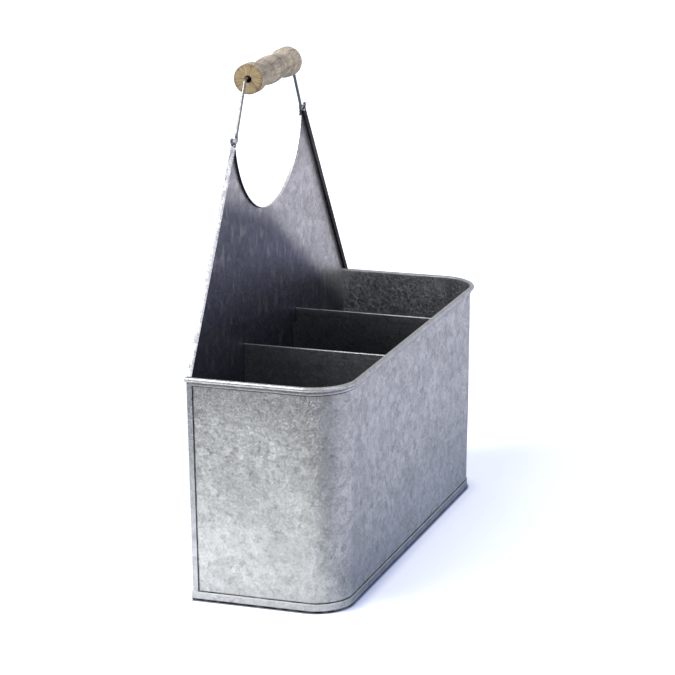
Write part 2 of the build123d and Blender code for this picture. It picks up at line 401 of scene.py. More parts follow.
def panel_shade_and_streaks(tree, place, colour):
    """Painted shade low on the panel's front, clearing towards the horns, more so on +X."""
    x, y, z = split(tree, place)
    lean = maths(
        tree, "ADD", linear(tree, x, 0.33, z), maths(tree, "MAXIMUM", times(tree, x, 0.32), 0.0)
    )
    low = ramp(tree, z, 0.19, 0.24, 0.014, 0.0)
    level = maths(tree, "ADD", ramp(tree, lean, 0.229, 0.259), low)
    streaks = noise_at(tree, vectors(tree, "MULTIPLY", place, (1.0, 1.0, 0.40)), 150.0, 4.0)
    patches = noise_at(tree, place, 48.0, 2.0)
    marks = times(
        tree, ramp(tree, streaks, 0.49, 0.66), ramp(tree, patches, 0.42, 0.60, 0.05, 0.21)
    )
    level = maths(tree, "ADD", level, marks)
    deep = ramp(tree, z, 0.205, 0.240, 0.0, 0.36)
    dark = blend_colours(tree, deep, scaled_colour(tree, colour, 0.11, PANEL_BLUE), DEEPEST)
    tips = ramp(tree, z, 0.258, 0.305, 0.0, 0.42)
    light = blend_colours(tree, tips, scaled_colour(tree, colour, 1.36, PANEL_WARM), TIP_GREY)
    front = blend_colours(tree, level, dark, light)
    colour = blend_colours(tree, attribute(tree, "inside"), colour, front)
    # Corners behind the flanges get painted black shade, and the outer strips painted shade
    # towards the tips
    depth = ramp(tree, y, FLANGE_FRONT + 1.7 * MM, FLANGE_FRONT + 2.5 * MM)
    black = times(tree, depth, attribute(tree, "corner"))
    colour = blend_colours(tree, black, colour, CORNER_SHADE)
    fade = ramp(tree, y, FLANGE_FRONT + 3.8 * MM, FLANGE_FRONT + 0.3 * MM)
    strip_shade = maths(tree, "MAXIMUM", ramp(tree, z, 0.22, 0.30), fade)
    strip_shade = maths(tree, "MAXIMUM", strip_shade, LEAST_STRIP_SHADE)
    strip_shade = times(tree, strip_shade, attribute(tree, "strip"), ramp(tree, z, 0.160, 0.166))
    colour = toned(tree, colour, strip_shade, 0.30, (0.95, 0.93, 1.05))
    # Folds and the lining of the cut-out get a painted highlight
    return blend_colours(tree, attribute(tree, "fold_highlight"), colour, FOLD_HIGHLIGHT_ZINC)


def foot_shade(tree, place, colour):
    """Painted shade: the pan's lip is darker and bluish along the front of the box."""
    x, y, z = split(tree, place)
    foot = times(
        tree,
        ramp(tree, z, 7.4 * MM, 6.4 * MM),
        ramp(tree, x, -0.156, -0.128, 0.0, 0.9),
        ramp(tree, y, 0.0, -0.03),
    )
    return toned(tree, colour, foot, 0.60, (0.93, 0.98, 1.10))


WALL_ZINC = zinc_sheet(
    "galvanised_wall", (0.40, 0.405, 0.415), (0.68, 0.685, 0.69), 170.0, 0.45, foot_shade
)
# The panel's sheet is set darker and bluer than the walls', a painted shade
PANEL_ZINC = zinc_sheet(
    "galvanised_panel", (0.33, 0.335, 0.37), (0.56, 0.565, 0.61), 150.0, 0.4, panel_shade_and_streaks
)
# The dividers' sheet is set darker still, a painted shade for the inside of the box
SHADED_INNER_ZINC = zinc_sheet("galvanised_divider_shaded", (0.20, 0.205, 0.22), (0.31, 0.32, 0.34), 170.0, 0.2)

# %% [markdown]
# The wires are zinc as well, but drawn: fine marks run all over them, with darker spots, and
# the bail gets painted shade towards its far end.

# %% Make the wires' finish
def drawn_wire(name, dark, light, rough, far_shade=1.0):
    """Zinc-coated wire: fine drawing marks, dark spots, painted shade towards its +X end."""
    material, tree, shader, place = new_material(name)
    marks = noise_at(tree, place, 1500.0, 4.0)
    spread = linear(tree, noise_at(tree, place, 260.0, 2.0), 0.8, -0.15)
    colour = blend_colours(tree, linear(tree, marks, 0.5, spread), dark, light)
    colour = toned(tree, colour, ramp(tree, split(tree, place)[0], -0.05, 0.05), far_shade)
    shader.inputs["Metallic"].default_value = 1.0
    connect(tree, shader, colour, linear(tree, marks, 0.25, rough), marks, 0.3, 0.0001)
    return material


BAIL_STEEL = drawn_wire("bail_steel", (0.17, 0.17, 0.17), (0.36, 0.36, 0.355), 0.26, far_shade=0.8)
RIM_STEEL = drawn_wire("rim_steel", (0.34, 0.34, 0.36), (0.66, 0.66, 0.68), 0.32)

# %% [markdown]
# The grip is bare wood that has weathered: grey-brown along its side with purple-grey
# streaks, and warmer on the end grain, where rays run out from the bore and the rim is
# darker. The grain runs along X, so the noise is stretched along X; on the ends the streaks
# follow the angle round the bore instead, and a mask stored on the points changes over.
# Inside the bore it is painted dark, a painted shade.

# %% Make the wood
GRIP_LOW, GRIP_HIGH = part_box("wood_grip")
GRIP_CENTRE = (GRIP_LOW + GRIP_HIGH) / 2
STREAK_DARK, STREAK_LIGHT = (0.26, 0.21, 0.19), (0.60, 0.51, 0.39)
FIBRE_LIGHT = (0.78, 0.69, 0.56)
RAY_DARK, RAY_LIGHT = (0.16, 0.11, 0.055), (0.52, 0.41, 0.225)
BORE_SHADE = (0.012, 0.010, 0.009)


def turned_wood(name):
    """Weathered wood with grain along X, and rays and rings on the ends."""
    material, tree, shader, place = new_material(name)
    centred = vectors(tree, "SUBTRACT", place, tuple(GRIP_CENTRE))
    along_grain = vectors(tree, "MULTIPLY", centred, (0.07, 1.0, 1.0))
    fibre = noise_at(tree, along_grain, 1100.0, 5.0)
    streak = noise_at(tree, along_grain, 330.0, 3.0)
    _, y, z = split(tree, centred)
    angle = maths(tree, "ARCTAN2", y, z)
    radius = maths(tree, "SQRT", linear(tree, y, y, times(tree, z, z)))
    links = {
        0: maths(tree, "SINE", angle),
        1: maths(tree, "COSINE", angle),
        2: times(tree, radius, 9.0),
    }
    rays = noise_at(tree, put(tree, "ShaderNodeCombineXYZ", links).outputs[0], 14.0, 5.0)
    rings = put(
        tree,
        "ShaderNodeTexWave",
        {"Vector": centred, "Scale": 170.0, "Distortion": 3.0, "Detail": 2.0, "Detail Scale": 1.5},
        wave_type="RINGS",
        rings_direction="X",
    ).outputs["Fac"]
    side = blend_colours(tree, linear(tree, streak, 2.6, -0.8), STREAK_DARK, STREAK_LIGHT)
    side = blend_colours(tree, linear(tree, fibre, 2.4, -0.95), side, FIBRE_LIGHT)
    # Faint marks of the tool run round the side
    turning = noise_at(tree, vectors(tree, "MULTIPLY", centred, (1.0, 0.12, 0.12)), 210.0, 3.0)
    side = toned(tree, side, ramp(tree, turning, 0.42, 0.66, 0.0, 0.75), 0.58)
    ray_shade = linear(tree, rings, 0.12, linear(tree, rays, 2.4, -0.82))
    face = blend_colours(tree, ray_shade, RAY_DARK, RAY_LIGHT)
    edge = ramp(tree, radius, 7.5 * MM, 10.8 * MM, 0.0, 0.55)
    face = toned(tree, face, edge, 0.5, (1.1, 0.95, 0.85))
    wood = blend_colours(tree, attribute(tree, "end_grain"), side, face)
    # The bore is painted dark, a painted shade
    wood = blend_colours(tree, ramp(tree, radius, 3.0 * MM, 2.4 * MM), wood, BORE_SHADE)
    connect(tree, shader, wood, linear(tree, fibre, 0.2, 0.6), fibre, 0.7, 0.0006)
    return material


GRIP_WOOD = turned_wood("turned_wood")

# %% [markdown]
# ## The body wrap
# One strip of sheet makes both ends and the front. It leans out by about a degree, its upper
# edge is curled out and over a wire, and the last of it hangs down as a narrow hem. A bent
# strip is a section that follows the walls in plan, so the section is drawn once, as pairs
# of outset and height, and each pair becomes a line round the two front corners. Lines and
# rows lie closer together beside a seam, where the dark line of dirt and painted shade needs
# them.

# %% Draw the lines of the wrap
CORNER_STEPS = 28
STRAIGHT_STEPS = 40
FRONT_STEPS = 2 * STRAIGHT_STEPS
WALL_ROWS = 26
CURL_STEPS = 40
SEAM_ROWS = [gap * MM for gap in (0.15, 0.6, 1.0, 1.4, 3.0)]
# A dark line beside a seam, dirt and painted shade
DARK_LINE_WIDTH, DARK_LINE_FADE = 1.2 * MM, 0.5 * MM
STEP = 0.02 * MM

HEM_REACH = CURL_INSIDE - SEAM - SHEET
HEM_BOTTOM = CURL_BOTTOM - 2.2 * MM
WALL_END = PANEL_FRONT - SEAM
HEM_END = FLANGE_FRONT - SEAM


def quarter_turn(x, y, radius, start, steps, count):
    """The first points of a quarter circle about a place, cut into steps from a start angle."""
    turns = [start + pi / 2 * i / steps for i in range(count)]
    return [(x + radius * cos(turn), y + radius * sin(turn)) for turn in turns]


def wall_line(outset, height, end):
    """A line round the front of the box: along one end wall, the front wall and the other end."""
    half, near, radius = HALF_LENGTH + outset, FRONT - outset, CORNER_RADIUS + outset
    left, right, ahead = -half + radius, half - radius, near + radius
    along = [end] + [FLANGE_FRONT - gap for gap in SEAM_ROWS]
    start, run = along[-1], near + radius - FLANGE_FRONT + SEAM_ROWS[-1]
    along += [start + run * i / STRAIGHT_STEPS for i in range(1, STRAIGHT_STEPS)]
    places = [(-half, y) for y in along]
    places += quarter_turn(left, ahead, radius, pi, CORNER_STEPS, CORNER_STEPS)
    places += [(left + 2 * right * i / FRONT_STEPS, near) for i in range(FRONT_STEPS)]
    places += quarter_turn(right, ahead, radius, 1.5 * pi, CORNER_STEPS, CORNER_STEPS)
    places += [(half, ahead)] + [(half, y) for y in reversed(along)]
    return [(x, y, height) for x, y in places]


def curl_arc(radius, start, stop):
    """Outset and height of points round the rim wire."""
    return [
        (CURL_OUT + radius * cos(a), RIM_HEIGHT + radius * sin(a))
        for a in np.linspace(start, stop, CURL_STEPS)
    ]


def seam_dark_line(gap):
    """Dirt and painted shade by a seam: full to the line's width, then fading; less behind it."""
    return min(1.0, max(0.0, (DARK_LINE_WIDTH - gap) / DARK_LINE_FADE)) if gap > -0.5 * MM else 0.6


def wrap_section():
    """Outset, height, back end, edge wear and highlight, grime and shade round the section."""
    rows = []
    for height in np.linspace(FLOOR_TOP, CURL_BOTTOM - STEP, WALL_ROWS):
        rows.append((SLOPE * height - SHEET, height, WALL_END, 0, 0))
    rows.append((SLOPE * CURL_BOTTOM - SHEET, CURL_BOTTOM, BACK, 0, 0))
    crease = -pi / 2 - np.arcsin(HEM_REACH / CURL_OUTSIDE)
    # Round the curl the edge mark grows to a painted highlight on top, over slight wear, and
    # painted shade grows underneath
    for place in curl_arc(CURL_OUTSIDE, pi, crease):
        top = max(0.0, (place[1] - RIM_HEIGHT) / CURL_OUTSIDE)
        low = max(0.0, (RIM_HEIGHT - place[1]) / CURL_OUTSIDE)
        rows.append((*place, BACK, 0.25 + 0.4 * top, 0.35 * low**2))
    hem_out, hem_in = CURL_OUT - HEM_REACH, RIM_OUT + SEAM
    # Along the hem the crease and the inside get painted shade, and the raw lower edge a painted
    # highlight
    rows += [
        (hem_out, CURL_BOTTOM, HEM_END, 0, 0.85),
        (hem_out, (CURL_BOTTOM + HEM_BOTTOM) / 2, HEM_END, 0.1, 0.25),
        (hem_out, HEM_BOTTOM + 0.2 * MM, HEM_END, 1.0, 0),
        (hem_out - 0.15 * MM, HEM_BOTTOM, HEM_END, 1.0, 0),
        (hem_in, HEM_BOTTOM, HEM_END, 0.3, 0.3),
        (hem_in, RIM_HEIGHT - 2 * MM, HEM_END, 0, 1.0),
    ]
    # Inside the curl the sheet gets painted shade
    tail = pi + np.arcsin((CURL_INSIDE - SEAM) / CURL_INSIDE) - pi / 2
    for place in curl_arc(CURL_INSIDE, -pi + (pi / 2 - (tail - pi)), pi):
        rows.append((*place, BACK, 0, 0.6))
    rows.append((SLOPE * CURL_BOTTOM, CURL_BOTTOM, BACK, 0, 1.0))
    close = [LIP + gap for gap in SEAM_ROWS] + [HEM_BOTTOM - gap for gap in SEAM_ROWS]
    heights = sorted(close + list(np.linspace(CURL_BOTTOM - STEP, FLOOR_TOP, WALL_ROWS)))
    # Above the pan's lip and under the hem the wall gets the dark line of dirt and painted shade
    for height in reversed(heights):
        dark_line = max(seam_dark_line(height - LIP), seam_dark_line(HEM_BOTTOM - height))
        rows.append((SLOPE * height, height, WALL_END, 0, dark_line))
    return rows


# %% [markdown]
# A sheet of this size is never quite flat, so the walls also get a slow, shallow swell that
# dies out at the foot, at the hem and at the back.

# %% Make the wrap
SWELL = 1.0 * MM
SWELL_LOW, SWELL_HIGH = FLOOR_TOP + 8 * MM, HEM_BOTTOM - 4 * MM
FADE_UP, FADE_BACK = 22 * MM, 25 * MM
WAVES_PER_METRE = 16.0


def swell(point):
    """How far a wall bulges at a point: slow noise that fades to nothing at its edges."""
    y, z = point[1:]
    fade = min(1.0, max(0.0, (z - SWELL_LOW) / FADE_UP), max(0.0, (SWELL_HIGH - z) / FADE_UP))
    fade *= min(1.0, max(0.0, (BACK - y) / FADE_BACK))
    return SWELL * fade * noise.noise(Vector(point) * WAVES_PER_METRE)


section = wrap_section()
lines = [wall_line(outset, height, end) for outset, height, end, edge, grime_and_shade in section]
for line, row in zip(lines, section):
    if row[1] < CURL_BOTTOM - STEP / 2:
        for j, (x, y, z) in enumerate(line):
            push = swell((x, y, z))
            if abs(x) < HALF_LENGTH:
                line[j] = (x, y - push, z)
            else:
                line[j] = (x + push if x > 0 else x - push, y, z)
wrap_mesh = finished_mesh("wrap_sheet", *bridge(lines, around=True))
mark(wrap_mesh, "edge", np.repeat([row[3] for row in section], len(lines[0])))
grime_and_shade = []
# Beside the front edge of the panel's side flange the outer wall gets painted shade
for line, row in zip(lines, section):
    outside = row[1] < HEM_BOTTOM and row[0] > SLOPE * row[1] - SHEET / 2
    for x, y, z in line:
        grime_and_shade.append(max(row[4], seam_dark_line(FLANGE_FRONT - y) if outside else 0))
mark(wrap_mesh, "grime_and_shade", grime_and_shade)
add_piece("wrap_sheet", wrap_mesh, "caddy", "body_wrap", WALL_ZINC)

# %% [markdown]
# ## Wires
# Both wires are a path with rounded corners and a circle that follows it. Geometry Nodes do
# that well: the points of the path carry how sharply the wire bends there, Fillet Curve
# rounds each corner by that number, and Curve to Mesh draws the wire along it. The last
# points of a path also carry a smaller share of the thickness, so the cut ends come out
# rounded off.

# %% Build the wire tree
WIRE_INPUTS = {
    "Path": "Geometry",
    "Wire Radius": "Float",
    "Points Round": "Int",
    "Points per Bend": "Int",
    "Finish": "Material",
}


def wire_tree():
    tree = bpy.data.node_groups.new("bent_wire", "GeometryNodeTree")
    for label, kind in WIRE_INPUTS.items():
        tree.interface.new_socket(label, in_out="INPUT", socket_type="NodeSocket" + kind)
    tree.interface.new_socket("Wire", in_out="OUTPUT", socket_type="NodeSocketGeometry")
    sizes, sink = tree.nodes.new("NodeGroupInput").outputs, tree.nodes.new("NodeGroupOutput")
    path = put(tree, "GeometryNodeMeshToCurve", {0: sizes["Path"]})
    bend = put(tree, "GeometryNodeInputNamedAttribute", {0: "bend"}, data_type="FLOAT")
    rounded = put(
        tree,
        "GeometryNodeFilletCurve",
        {"Curve": path.outputs[0], "Count": sizes["Points per Bend"], "Radius": bend.outputs[0]},
        mode="POLY",
    )
    share = put(tree, "GeometryNodeInputNamedAttribute", {0: "thickness"}, data_type="FLOAT")
    tapered = put(
        tree,
        "GeometryNodeSetCurveRadius",
        {"Curve": rounded.outputs[0], "Radius": share.outputs[0]},
    )
    ring = put(
        tree,
        "GeometryNodeCurvePrimitiveCircle",
        {"Resolution": sizes["Points Round"], "Radius": sizes["Wire Radius"]},
    )
    drawn = put(
        tree,
        "GeometryNodeCurveToMesh",
        {"Curve": tapered.outputs[0], "Profile Curve": ring.outputs[0], "Fill Caps": True},
    )
    if "Scale" in drawn.inputs:
        tree.links.new(share.outputs[0], drawn.inputs["Scale"])
    real = put(tree, "GeometryNodeRealizeInstances", {0: drawn.outputs[0]})
    coated = put(
        tree, "GeometryNodeSetMaterial", {"Geometry": real.outputs[0], "Material": sizes["Finish"]}
    )
    tree.links.new(coated.outputs[0], sink.inputs[0])
    return tree


WIRE_TREE = wire_tree()

# %% [markdown]
# Modifiers and node trees only show their result. A helper takes that result as a plain mesh
# and throws the object that carried them away, so every finished piece is a simple mesh.

# %% Define the drawing of a wire
END_SHARES = [0.0, 0.08, 0.2, 0.4, 0.7, 1.0]
WIRE_SIDES = 32


def modified(name, mesh, build, keep_layers=False):
    """The plain mesh that modifiers make, added by build to an object that is then removed."""
    holder = in_scene(name, mesh)
    build(holder)
    graph = bpy.context.evaluated_depsgraph_get()
    result = bpy.data.meshes.new_from_object(
        holder.evaluated_get(graph), preserve_all_data_layers=keep_layers, depsgraph=graph
    )
    bpy.data.objects.remove(holder)
    result.name = name
    return result


def wire(name, corners, bends, finish, round_end, steps=14):
    """A wire along corners, each rounded by its bend, with its two ends rounded off."""
    first, last = Vector(corners[0]), Vector(corners[-1])
    inward = (Vector(corners[1]) - first).normalized()
    backward = (Vector(corners[-2]) - last).normalized()
    start = [first + inward * round_end * s for s in END_SHARES]
    stop = [last + backward * round_end * s for s in reversed(END_SHARES)]
    places = start + [Vector(c) for c in corners[1:-1]] + stop
    taper = [max(0.05, sqrt(1 - (1 - s) ** 2)) for s in END_SHARES]
    path = bpy.data.meshes.new(name + "_path")
    path.from_pydata([tuple(p) for p in places], [(i, i + 1) for i in range(len(places) - 1)], [])
    straight = [0.0] * len(END_SHARES)
    mark(path, "bend", straight + list(bends) + straight)
    mark(path, "thickness", taper + [1.0] * (len(corners) - 2) + taper[::-1])
    values = {
        "Wire Radius": WIRE_RADIUS,
        "Points Round": WIRE_SIDES,
        "Points per Bend": steps,
        "Finish": finish,
    }

    def draw(holder):
        modifier = holder.modifiers.new("tree", "NODES")
        modifier.node_group = WIRE_TREE
        for item in WIRE_TREE.interface.items_tree:
            if item.name in values:
                modifier[item.identifier] = values[item.name]

    mesh = modified(name, path, draw)
    mesh.shade_smooth()
    mesh.set_sharp_from_angle(angle=radians(50))
    return mesh


# %% [markdown]
# ## The rim wire
# It fills the curl from one back corner to the other, and its rounded ends show behind.

# %% Draw the rim wire
RIM_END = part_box("rim_wire")[1].y
rim_half, rim_near = HALF_LENGTH + CURL_OUT, FRONT - CURL_OUT
rim_corners = [
    (-rim_half, RIM_END, RIM_HEIGHT),
    (-rim_half, rim_near, RIM_HEIGHT),
    (rim_half, rim_near, RIM_HEIGHT),
    (rim_half, RIM_END, RIM_HEIGHT),
]
rim_bend = CORNER_RADIUS + CURL_OUT
rim_mesh = wire("rim_wire_drawn", rim_corners, [rim_bend, rim_bend], RIM_STEEL, 0.6 * MM, steps=28)
add_piece("rim_wire_drawn", rim_mesh, "caddy", "rim_wire", RIM_STEEL)

# %% [markdown]
# ## The bail
# One wire. Each end stands up outside the horn's slanted flange, passes in through the hole,
# turns up inside the horn and leans in to the straight that runs through the grip.

# %% Draw the bail
BAIL_LOW, BAIL_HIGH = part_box("bail_wire")
PIVOT_Y = (BAIL_LOW.y + BAIL_HIGH.y) / 2
PIVOT_Z = TIP_HEIGHT - 3.5 * MM
BAIL_Z = BAIL_HIGH.z - WIRE_RADIUS
CUTOUT_RADIUS = 67.6 * MM
CUTOUT_Z = TIP_HEIGHT + 5.8 * MM


def cutout_x(height):
    """Half the width of the round cut-out at a height."""
    return sqrt(CUTOUT_RADIUS**2 - (CUTOUT_Z - height) ** 2)


def mirrored(points):
    """Points on +X as they lie on -X, in reverse order."""
    return [(-x, *rest) for x, *rest in reversed(points)]


HOOK_OUT = BAIL_HIGH.x - WIRE_RADIUS
HOOK_IN = cutout_x(PIVOT_Z) - 1.5 * MM - WIRE_RADIUS
SHOULDER_X = GRIP_HIGH.x + 5 * MM
HOOK_BEND, KNEE_BEND, SHOULDER_BEND = 2.4 * MM, 6 * MM, 4 * MM
half_bail = [
    (HOOK_OUT, PIVOT_Z + 4.6 * MM, 0.0),
    (HOOK_OUT, PIVOT_Z, HOOK_BEND),
    (HOOK_IN, PIVOT_Z, HOOK_BEND),
    (HOOK_IN, PIVOT_Z + 5 * MM, KNEE_BEND),
    (SHOULDER_X, BAIL_Z, SHOULDER_BEND),
]
whole_bail = half_bail + mirrored(half_bail)
bail_mesh = wire(
    "bail_drawn",
    [(x, PIVOT_Y, z) for x, z, bend in whole_bail],
    [bend for x, z, bend in whole_bail[1:-1]],
    BAIL_STEEL,
    0.9 * MM,
)
add_piece("bail_drawn", bail_mesh, "bail", "bail_wire", BAIL_STEEL)

# %% [markdown]
# ## The grip
# A turned piece is a profile spun round its axis. The profile here has a bead at each end
# that runs down in a long cove to a neck, and a swollen barrel. Each point of the profile
# becomes one line round the axis. Shallow furrows along the grain make it old wood.

# %% Turn the grip
GRIP_HALF = (GRIP_HIGH.x - GRIP_LOW.x) / 2
BEAD_R, NECK_R, BARREL_R, BORE_R = 11 * MM, 8.7 * MM, 10.3 * MM, 2.5 * MM
BEAD_WIDTH, BEAD_ROUND, NECK_X = 8.5 * MM, 0.8 * MM, 21 * MM
BORE_ROUND = 0.4 * MM
FURROW = 0.10 * MM
END_DEPTH = 0.6 * MM
SIDES = 128


def grip_profile():
    """Distance along the axis and radius, from one bore edge over the outside to the other."""
    half = []
    bead_x = GRIP_HALF - BEAD_WIDTH
    for share in np.linspace(0, 1, 26):
        half.append((NECK_X * share, NECK_R + (BARREL_R - NECK_R) * (1 + cos(pi * share)) / 2))
    for share in np.linspace(0, 1, 18)[1:]:
        x = NECK_X + (bead_x - NECK_X) * share
        half.append((x, BEAD_R - (BEAD_R - NECK_R) * (1 + cos(pi * share)) / 2))
    for x in np.linspace(bead_x, GRIP_HALF - BEAD_ROUND, 6)[1:-1]:
        half.append((x, BEAD_R))
    for t in np.linspace(0, pi / 2, 9):
        half.append((GRIP_HALF - BEAD_ROUND * (1 - sin(t)), BEAD_R - BEAD_ROUND * (1 - cos(t))))
    for r in np.linspace(BEAD_R - BEAD_ROUND, BORE_R + BORE_ROUND, 10)[1:]:
        half.append((GRIP_HALF, r))
    for t in np.linspace(0, pi / 2, 5)[1:]:
        half.append((GRIP_HALF - BORE_ROUND * sin(t), BORE_R + BORE_ROUND * (1 - sin(t))))
    for x in np.linspace(GRIP_HALF - BORE_ROUND, 0, 6)[1:]:
        half.append((x, BORE_R))
    return mirrored(half[1:]) + half[:-1]


rings, end_marks = [], []
for x, r in grip_profile():
    ring = []
    for j in range(SIDES):
        turn = 2 * pi * j / SIDES
        furrow = noise.noise(Vector((x * 35, cos(turn) * 9, sin(turn) * 9)))
        inset = FURROW + FURROW * furrow if r > BORE_R + 1.5 * MM else 0.0
        y, z = (r - inset) * cos(turn), (r - inset) * sin(turn)
        ring.append((GRIP_CENTRE.x + x, GRIP_CENTRE.y + y, GRIP_CENTRE.z + z))
    rings.append(ring)
    end_marks += [1.0 if abs(x) > GRIP_HALF - END_DEPTH else 0.0] * SIDES
grip_mesh = finished_mesh("grip_turned", *bridge(rings, around=True, along=True))
mark(grip_mesh, "end_grain", end_marks)
add_piece("grip_turned", grip_mesh, "grip", "wood_grip", GRIP_WOOD)

# %% [markdown]
# ## The base pan
# A shallow tray under the walls. Its lip is turned up and leans out with the walls. Every
# line here is a rounded rectangle, from the underside over the lip to the floor inside, and
# the first and the last are filled in.

# %% Make the pan
PAN_OUT = SEAM + SHEET
PAN_BEND = 0.9 * MM
REAR_STEPS = 8


def pan_line(outset, height, rear_radius):
    """A rounded rectangle round the foot, moved out by outset, at a height."""
    half, near, far = HALF_LENGTH + outset, FRONT - outset, BACK + outset
    corners = [
        (-half, near, pi, CORNER_RADIUS + outset, CORNER_STEPS),
        (half, near, 1.5 * pi, CORNER_RADIUS + outset, CORNER_STEPS),
        (half, far, 0.0, rear_radius, REAR_STEPS),
        (-half, far, 0.5 * pi, rear_radius, REAR_STEPS),
    ]
    places = []
    for x, y, start, radius, steps in corners:
        centre_x = x - radius * (1 if x > 0 else -1)
        centre_y = y - radius * (1 if y > 0 else -1)
        places += quarter_turn(centre_x, centre_y, radius, start, steps, steps + 1)
    return [(x, y, height) for x, y in places]


# Outset, height, edge wear and highlight, and grime and shade of each line. The bottom bend
# gets painted shade, the top of the lip a painted highlight, and the inside corner dirt and
# painted shade.
pan_rows = [
    (PAN_OUT - PAN_BEND * (1 - sin(t)), PAN_BEND * (1 - cos(t)), 0, 1.2)
    for t in np.linspace(0, pi / 2, 8)
]
pan_rows.append((PAN_OUT + SLOPE * 1.5 * MM, 1.5 * MM, 0, 1.2))
for height in np.linspace(2.0 * MM, LIP - 0.15 * MM, 6):
    pan_rows.append((PAN_OUT + SLOPE * height, height, 0.1 if height < LIP * 0.9 else 1.0, 0))
pan_rows += [
    (PAN_OUT + SLOPE * LIP - 0.1 * MM, LIP, 1.0, 0),
    (SEAM + SLOPE * LIP + 0.05 * MM, LIP, 1.0, 0),
    (SEAM + SLOPE * LIP, LIP - 0.1 * MM, 0.3, 0.6),
    (SEAM + SLOPE * SHEET, SHEET + 0.3 * MM, 0, 1.0),
    (SEAM - 0.3 * MM, SHEET, 0, 0.8),
    (SEAM - 4 * MM, SHEET, 0, 0.4),
    (SEAM - 14 * MM, SHEET, 0, 0.0),
]
lines = [
    pan_line(outset, height, max(0.05 * MM, 0.3 * MM + outset))
    for outset, height, edge, grime_and_shade in pan_rows
]
pan_mesh = finished_mesh("pan_sheet", *bridge(lines, along=True))
for place, label in ((2, "edge"), (3, "grime_and_shade")):
    mark(pan_mesh, label, np.repeat([row[place] for row in pan_rows], len(lines[0])))
add_piece("pan_sheet", pan_mesh, "caddy", "base_pan", WALL_ZINC)

# %% [markdown]
# ## The back panel
# Flat sheet with two horns. Its outline runs up one side as corners, down round the cut-out
# as an arc, and down the other side as their mirror image.

# %% Draw the panel's outline
TIP_X = cutout_x(TIP_HEIGHT) + 1.2 * MM
NOTCH_LOW = CURL_BOTTOM - SEAM
NOTCH_HIGH = RIM_HEIGHT + CURL_OUTSIDE + SEAM
FLANGE_FOOT = LIP + SEAM
FLANGE_STOP = TIP_HEIGHT - 8 * MM
CUTOUT_FLANGE = 2.3 * MM
ARC_STEPS = 72


def skin_x(height):
    """Half the length of the box over the end walls at a height."""
    return HALF_LENGTH + SLOPE * height


def flange_x(height):
    """Half the length over the side flanges, below the rim."""
    return skin_x(height) + SEAM + SHEET


HORN_FOOT_X = skin_x(NOTCH_HIGH)
HORN_RUN = SHEET / cos(atan2(HORN_FOOT_X - TIP_X, TIP_HEIGHT - NOTCH_HIGH))
NOTCH_X = skin_x(NOTCH_LOW) - SHEET - SEAM


def cutout_arc(radius):
    """Points round the cut-out, from where the flange stops on +X to the same on -X."""
    start = -acos(sqrt(1 - ((CUTOUT_Z - FLANGE_STOP) / radius) ** 2))
    turns = np.linspace(start, -pi - start, ARC_STEPS)
    return [(radius * cos(a), CUTOUT_Z + radius * sin(a)) for a in turns]


outline = [
    (skin_x(FLOOR_TOP), FLOOR_TOP),
    (skin_x(FLANGE_FOOT), FLANGE_FOOT),
    (flange_x(FLANGE_FOOT) - SHEET, FLANGE_FOOT),
    (flange_x(FLANGE_FOOT), FLANGE_FOOT),
    (flange_x(NOTCH_LOW), NOTCH_LOW),
    (flange_x(NOTCH_LOW) - SHEET, NOTCH_LOW),
    (NOTCH_X, NOTCH_LOW),
    (NOTCH_X, NOTCH_HIGH),
    (HORN_FOOT_X - HORN_RUN, NOTCH_HIGH),
    (HORN_FOOT_X, NOTCH_HIGH),
    (TIP_X, TIP_HEIGHT),
    (TIP_X - HORN_RUN, TIP_HEIGHT),
    (cutout_x(TIP_HEIGHT), TIP_HEIGHT),
]
# Where the side flanges stand on the outline, and which corners the sheet between them keeps
FLANGE_CORNERS = ((2, 3, 4, 5), (8, 9, 10, 11))
KEPT_CORNERS = (0, 1, 2, 5, 6, 7, 8, 11, 12)
upper = [(cutout_x(z), z) for z in np.linspace(TIP_HEIGHT, FLANGE_STOP, 8)[1:-1]]
arc, ring = cutout_arc(CUTOUT_RADIUS), cutout_arc(CUTOUT_RADIUS + SHEET)

# %% [markdown]
# The outline becomes a thin closed sheet. Strips along the sides and round the cut-out are
# raised forward as flanges. Then each edge gets a weight: full for a fold, slight for the
# rest, so that one bevel can round the folds and only take the sharpness off the others.

# %% Fold the panel
FOLD_WEIGHT, EDGE_WEIGHT = 1.0, 0.1


